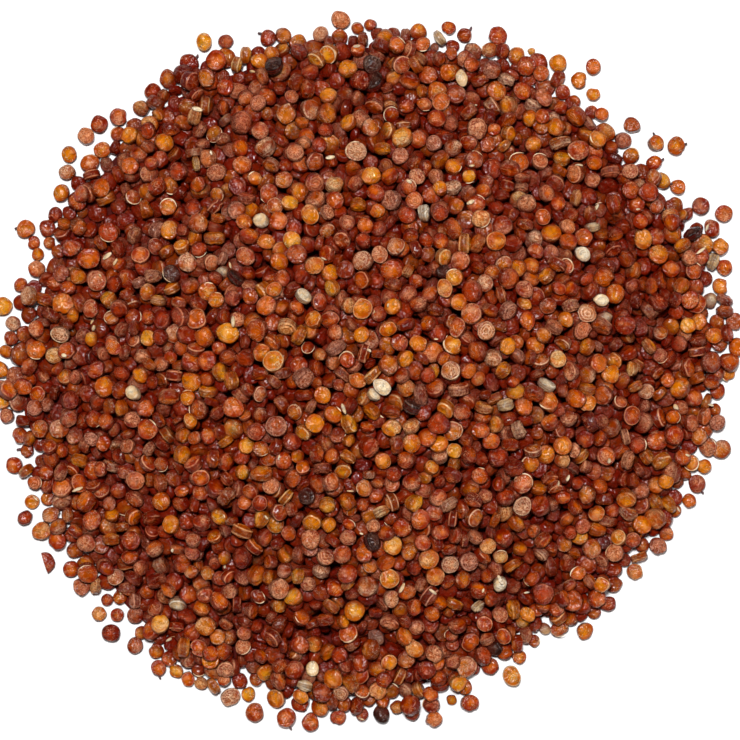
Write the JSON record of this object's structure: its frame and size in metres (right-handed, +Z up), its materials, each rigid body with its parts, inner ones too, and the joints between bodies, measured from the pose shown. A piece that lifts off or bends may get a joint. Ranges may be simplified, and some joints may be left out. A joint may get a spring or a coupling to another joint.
{
  "type": "heap of dry red quinoa",
  "caption": "Low round heap of small lens-shaped dry red grains lying loose on a flat surface, with a few single grains just clear of its uneven edge.",
  "frame": {"origin": "on the surface that the heap lies on, under the middle of the whole part's box", "axes": "+X along the heap's longer width, to the right when seen from above; +Y away from the viewer; +Z up"},
  "size_m": [0.078, 0.0736, 0.0126],
  "materials": {
    "chestnut_grain": "dark red-brown seed coat, satin, with paler frosted patches",
    "rust_grain": "rust-red seed coat, satin",
    "amber_grain": "amber to orange seed coat, satin",
    "mauve_grain": "dusty mauve-brown seed coat, matt, frosted",
    "cream_grain": "cream hulled seed, satin",
    "dark_grain": "near-black seed coat, satin",
    "husk": "thin pale husk, matt",
    "heap_core": "grains deep in the heap, dark red-brown, matt"
  },
  "bodies": {
    "root": {"quinoa_heap": "chestnut_grain", "stray_grain_01": "amber_grain", "stray_grain_02": "amber_grain", "stray_grain_03": "rust_grain", "stray_grain_04": "chestnut_grain", "stray_grain_05": "amber_grain", "stray_grain_06": "rust_grain", "stray_grain_07": "chestnut_grain", "stray_grain_08": "rust_grain", "stray_grain_09": "chestnut_grain", "stray_grain_10": "amber_grain", "broken_grain": "chestnut_grain"}
  },
  "joints": []
}
